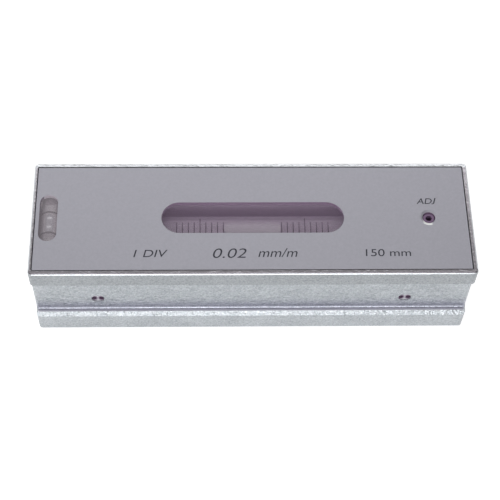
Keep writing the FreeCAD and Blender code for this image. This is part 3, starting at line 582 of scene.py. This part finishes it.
# Pieces that look different from the rest of their slot: the cross vial sits close under
# its pane and looks lighter than the main one, and the set screws show their end faces.
ownFinishes = {
    "cross_window": "cross_pane",
    "cross_vial": "cross_glass",
    "cross_spirit": "cross_liquid",
    "cross_bubble": "cross_air",
    "pivot_screw_front": "pivot_screw",
    "pivot_screw_rear": "pivot_screw",
    "guide_screw_front": "guide_screw",
    "guide_screw_rear": "guide_screw",
}


def dressNodes():
    makers = {"cast_iron": makeCastIron, "plate": makePlateFinish}
    made = {}
    for part in frame["record"]["subparts"]:
        name = ownFinishes.get(part["node"], part["material_slot"])
        if name not in made:
            if name in makers:
                made[name] = makers[name]()
            elif name in ("pivot_screw", "guide_screw"):
                made[name] = makeScrewFinish(name + "_front")
            elif name in plainFinishes:
                made[name] = makePlainFinish(name)
            else:
                made[name] = makeClearFinish(name)
        for slot in nodes[part["node"]].material_slots:
            slot.material = made[name]


# Paint of the engraved lines and the lettering, with small lighter flecks
paintLook = {"flecks": (4.0, 2.0), "lighter": 1.5, "lift": 0.01, "roughness": 0.6}


def makePaint(name, shade):
    look = paintLook
    material = newMaterial(name)
    flecks = grain(material.node_tree, look["flecks"])
    lighter = tuple(part * look["lighter"] + look["lift"] for part in shade[:3]) + (1.0,)
    shown = blendColours(material.node_tree, flecks.outputs["Value"], shade, lighter)
    return coat(material, {"Base Color": shown, "Roughness": look["roughness"]})


# Bands with four corners, swept along a path
def sweptFaces(stations, closed):
    # Quads between the corners of each station and the next, and an end face at each open end.
    corners = np.arange(4)
    following = (corners + 1) % 4
    here = np.arange(stations if closed else stations - 1)[:, None] * 4
    there = (here + 4) % (stations * 4)
    sides = (here + corners, there + corners, there + following, here + following)
    faces = np.stack(sides, axis=-1).reshape(-1, 4)
    if closed:
        return faces
    last = (stations - 1) * 4
    return np.concatenate((faces, ((0, 1, 2, 3), (last + 3, last + 2, last + 1, last))))


def arcBand(centre, axis, inner, outer, width, startAngle, endAngle, steps):
    # A band bent round an axis along X or Y, as a ring of four corners at each angle.
    # Each corner is centre + radius * (sin angle across, cos angle up) + half a width along.
    closed = abs(endAngle - startAngle - 2 * math.pi) < 1e-6
    angles = np.linspace(startAngle, endAngle, steps + 1)[: steps if closed else steps + 1]
    radii = np.array((inner, outer, outer, inner))
    across = np.outer(np.sin(angles), radii)
    up = np.outer(np.cos(angles), radii)
    along = np.broadcast_to(np.array((-1, -1, 1, 1)) * width / 2, up.shape)
    offsets = (along, across, up) if axis == "X" else (across, along, up)
    points = np.stack(offsets, axis=-1).reshape(-1, 3) + np.array(centre)
    return points, sweptFaces(len(angles), closed)


def joinBands(name, bands, material, body):
    # One mesh of all the bands, whose faces are numbered on from the points before them.
    points = np.concatenate([band[0] for band in bands])
    starts = np.cumsum([0] + [len(band[0]) for band in bands[:-1]])
    faces = np.concatenate([band[1] + start for band, start in zip(bands, starts)])
    mesh = bpy.data.meshes.new(name)
    mesh.from_pydata(points.tolist(), [], faces.tolist())
    shell = bmesh.new()
    shell.from_mesh(mesh)
    bmesh.ops.recalc_face_normals(shell, faces=shell.faces)
    shell.to_mesh(mesh)
    shell.free()
    mesh.materials.append(material)
    piece = bpy.data.objects.new(name, mesh)
    bpy.context.scene.collection.objects.link(piece)
    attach(piece, body)
    return piece


# Divisions on the main vial, counted outwards on either side of the middle
divisions = {
    "spacing": 2.0 * mm,
    "first": 10.0 * mm,
    "count": 9,
    "longPlace": 4,
    "width": 0.32 * mm,
    "sunk": 0.07 * mm,
    "proud": 0.02 * mm,
    "frontAngle": 42.0,
    "backAngle": 13.0,
    "longBackAngle": 30.0,
    "steps": 30,
    "paint": colour(14, 10, 18),
}


def makeDivisions():
    look = divisions
    low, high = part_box("main_vial")
    radius = (high.z - low.z) / 2
    axisHeight = (high.z + low.z) / 2
    bands = []
    for side in (-1, 1):
        for number in range(look["count"]):
            x = side * (look["first"] + number * look["spacing"])
            back = look["longBackAngle"] if number == look["longPlace"] else look["backAngle"]
            bands.append(
                arcBand(
                    (x, 0, axisHeight),
                    "X",
                    radius - look["sunk"],
                    radius + look["proud"],
                    look["width"],
                    -math.radians(look["frontAngle"]),
                    math.radians(back),
                    look["steps"],
                )
            )
    paint = makePaint("division_paint", look["paint"])
    joinBands("division_lines", bands, paint, "cradle")
    print("division lines", len(bands))


# The backlash spring under the bridge, drawn at one fixed length, though the real spring
# shortens as the cradle rises below it
springWire = {
    "width": 0.9 * mm,
    "height": 0.5 * mm,
    "turns": 2.5,
    "steps": 120,
    "flatShare": 0.14,
    "seat": 27.0 * mm,
    "keep": 0.955,
}


def makeSpring():
    # A helix of flat wire, which lies flat for a share of its length at either end.
    # Corner = centre + radius * (cos turn, sin turn), lifted by the share of the climb done.
    look = springWire
    low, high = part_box("backlash_spring")
    centre = (low + high) / 2
    outer = (high.x - low.x) / 2
    inner = outer - look["width"]
    shares = np.linspace(0, 1, look["steps"] + 1)[:, None]
    angles = shares * look["turns"] * 2 * math.pi
    climbs = np.clip((shares - look["flatShare"]) / (1 - 2 * look["flatShare"]), 0, 1)
    bottoms = low.z + climbs * (high.z - low.z - look["height"])
    radii = np.array((inner, outer, outer, inner))
    across = centre.x + radii * np.cos(angles)
    along = centre.y + radii * np.sin(angles)
    up = bottoms + np.array((0, 0, 1, 1)) * look["height"]
    points = np.stack((across, along, up), axis=-1).reshape(-1, 3)
    faces = sweptFaces(len(shares), False)
    steel = nodes["backlash_spring"].material_slots[0].material
    piece = joinBands("spring_coil", [(points, faces)], steel, "body")
    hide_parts("backlash_spring")
    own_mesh(piece)
    print("spring coil faces", len(faces))


# The two painted rings round the cross vial
rings = {
    "spacing": 8.2 * mm,
    "width": 0.6 * mm,
    "sunk": 0.06 * mm,
    "proud": 0.02 * mm,
    "steps": 72,
}


def makeRings():
    look = rings
    low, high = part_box("cross_vial")
    radius = (high.z - low.z) / 2
    centre = (low + high) / 2
    bands = []
    for side in (-1, 1):
        bands.append(
            arcBand(
                (centre.x, side * look["spacing"] / 2, centre.z),
                "Y",
                radius - look["sunk"],
                radius + look["proud"],
                look["width"],
                0.0,
                2 * math.pi,
                look["steps"],
            )
        )
    paint = makePaint("ring_paint", divisions["paint"])
    joinBands("ring_lines", bands, paint, "body")
    print("ring lines", len(bands))


# Lettering printed on the plate. fontSize is the typeface's size for capitals one high.
lettering = {
    "ink": colour(38, 38, 48),
    "lift": 0.012 * mm,
    "fontSize": 1.37,
    # words, start along and across the level, height, widening, slant, added weight
    "lines": (
        ("1 DIV", -41.2, -15.5, 3.0, 1.2, 0.2, 0.001),
        ("0.02", -14.3, -15.9, 3.9, 1.28, 0.22, -0.007),
        ("mm/m", 1.2, -15.6, 3.6, 1.05, 0.24, -0.001),
        ("150 mm", 36.6, -15.4, 2.9, 1.25, 0.03, 0.001),
        ("AD", 56.3, 5.3, 2.4, 1.12, 0.2, 0.006),
        ("J", 61.75, 5.8, 2.0, 1.5, 0.2, 0.006),
    ),
}


def makeLettering():
    look = lettering
    ink = makePaint("plate_ink", look["ink"])
    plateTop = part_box("cover_plate")[1].z
    for words, x, y, height, widening, slant, weight in look["lines"]:
        name = "print_" + "".join(letter for letter in words.lower() if letter.isalnum())
        text = bpy.data.curves.new(name, "FONT")
        text.body = words
        text.size = height * mm * look["fontSize"]
        text.shear = slant
        text.offset = weight * height * mm
        holder = bpy.data.objects.new(name + "_curve", text)
        bpy.context.scene.collection.objects.link(holder)
        bpy.context.view_layer.update()
        mesh = bpy.data.meshes.new_from_object(
            holder.evaluated_get(bpy.context.evaluated_depsgraph_get())
        )
        bpy.data.objects.remove(holder)
        mesh.transform(
            Matrix.Translation((x * mm, y * mm, plateTop + look["lift"]))
            @ Matrix.Diagonal((widening, 1.0, 1.0, 1.0))
        )
        mesh.name = name
        mesh.materials.clear()
        mesh.materials.append(ink)
        piece = bpy.data.objects.new(name, mesh)
        bpy.context.scene.collection.objects.link(piece)
        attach(piece, "body")
    print("lettering", len(look["lines"]))


# Paper under the level, which has some light of its own so that it shows white
paper = {"size": 6.0, "colour": (0.86, 0.86, 0.86, 1.0), "ownWhite": 0.57}


def makeFloor():
    mesh = bpy.data.meshes.new("floor")
    half = paper["size"] / 2
    mesh.from_pydata(
        [(-half, -half, 0), (half, -half, 0), (half, half, 0), (-half, half, 0)],
        [],
        [(0, 1, 2, 3)],
    )
    floor = bpy.data.objects.new("floor", mesh)
    bpy.context.scene.collection.objects.link(floor)
    material = newMaterial("floor_paper")
    tree = material.node_tree
    rays = addNode(tree, "LightPath").outputs
    seen = maths(tree, "MAXIMUM", rays["Is Camera Ray"], rays["Is Glossy Ray"])
    seen = maths(tree, "MAXIMUM", seen, rays["Is Transmission Ray"])
    own = maths(tree, "MULTIPLY", seen, paper["ownWhite"])
    matt = addNode(tree, "BsdfDiffuse", {"Color": paper["colour"]})
    white = addNode(tree, "Emission", {"Color": (1, 1, 1, 1), "Strength": own})
    both = addNode(tree, "AddShader", {0: matt.outputs[0], 1: white.outputs[0]})
    setOutput(tree, both.outputs[0])
    mesh.materials.append(material)
    print("floor", paper["size"], "m wide")


# A pale dome that is brighter near the horizon than overhead, and to the left
dome = {
    "horizonStrength": 0.70,
    "horizonTo": 0.55,
    "zenithStrength": 0.17,
    "zenithFrom": 0.92,
    "darkerToTheRight": 0.25,
}


def makeDome():
    world = bpy.data.worlds.new("studio")
    world.use_nodes = True
    tree = world.node_tree
    tree.nodes.clear()
    axes = readAxes(tree, "Generated")
    strength = ramp(
        tree,
        axes[2],
        dome["horizonTo"],
        dome["zenithFrom"],
        dome["horizonStrength"],
        dome["zenithStrength"],
    )
    leaning = maths(tree, "MULTIPLY_ADD", axes[0], -dome["darkerToTheRight"], strength)
    sky = addNode(tree, "Background", {"Color": (1, 1, 1, 1), "Strength": leaning})
    output = tree.nodes.new("ShaderNodeOutputWorld")
    tree.links.new(sky.outputs[0], output.inputs["Surface"])
    bpy.context.scene.world = world
    print("dome", dome["horizonStrength"], "to", dome["zenithStrength"])


# Lamps that look at one point. Azimuth 0 is in front of the level and grows to its right.
lampTarget = Vector((0, 0, 20 * mm))
lamps = {
    "front": {
        "azimuth": 0.0,
        "elevation": 31.0,
        "distance": 0.9,
        "width": 0.5,
        "height": 0.4,
        "power": 2.75,
    },
    "back": {
        "azimuth": 180.0,
        "elevation": 50.0,
        "distance": 1.0,
        "width": 0.9,
        "height": 0.24,
        "power": 1.1,
    },
    "top": {
        "azimuth": 180.0,
        "elevation": 86.0,
        "distance": 0.8,
        "width": 0.5,
        "height": 0.2,
        "power": 0.6,
    },
}


def makeLamps():
    for name, look in lamps.items():
        azimuth = math.radians(look["azimuth"])
        elevation = math.radians(look["elevation"])
        outwards = Vector(
            (
                math.sin(azimuth) * math.cos(elevation),
                -math.cos(azimuth) * math.cos(elevation),
                math.sin(elevation),
            )
        )
        data = bpy.data.lights.new(name, "AREA")
        data.shape = "RECTANGLE"
        data.size = look["width"]
        data.size_y = look["height"]
        data.energy = look["power"]
        lamp = bpy.data.objects.new(name, data)
        lamp.location = lampTarget + outwards * look["distance"]
        lamp.rotation_euler = outwards.to_track_quat("Z", "Y").to_euler()
        bpy.context.scene.collection.objects.link(lamp)
    print("lamps", len(lamps))


# Camera at the photograph's angle
viewpoint = {
    "place": (-0.014960, -0.244990, 0.429200),
    "elevation": 59.282,
    "yaw": 3.386,
    "roll": 2.728,
    "lens": 97.824,
    "sensor": 36.0,
    "nearest": 0.01,
}


def makeCamera():
    look = viewpoint
    data = bpy.data.cameras.new("camera")
    data.lens = look["lens"]
    data.sensor_width = look["sensor"]
    data.clip_start = look["nearest"]
    camera = bpy.data.objects.new("camera", data)
    bpy.context.scene.collection.objects.link(camera)
    turn = (
        Matrix.Rotation(-math.radians(look["yaw"]), 4, "Z")
        @ Matrix.Rotation(math.radians(90 - look["elevation"]), 4, "X")
        @ Matrix.Rotation(math.radians(look["roll"]), 4, "Z")
    )
    camera.matrix_world = Matrix.Translation(look["place"]) @ turn
    bpy.context.scene.camera = camera
    print("camera lens", look["lens"], "mm")


dressNodes()
makeDivisions()
makeSpring()
makeRings()
makeLettering()
makeFloor()
makeDome()
makeLamps()
makeCamera()
bpy.context.scene.view_settings.view_transform = "Standard"
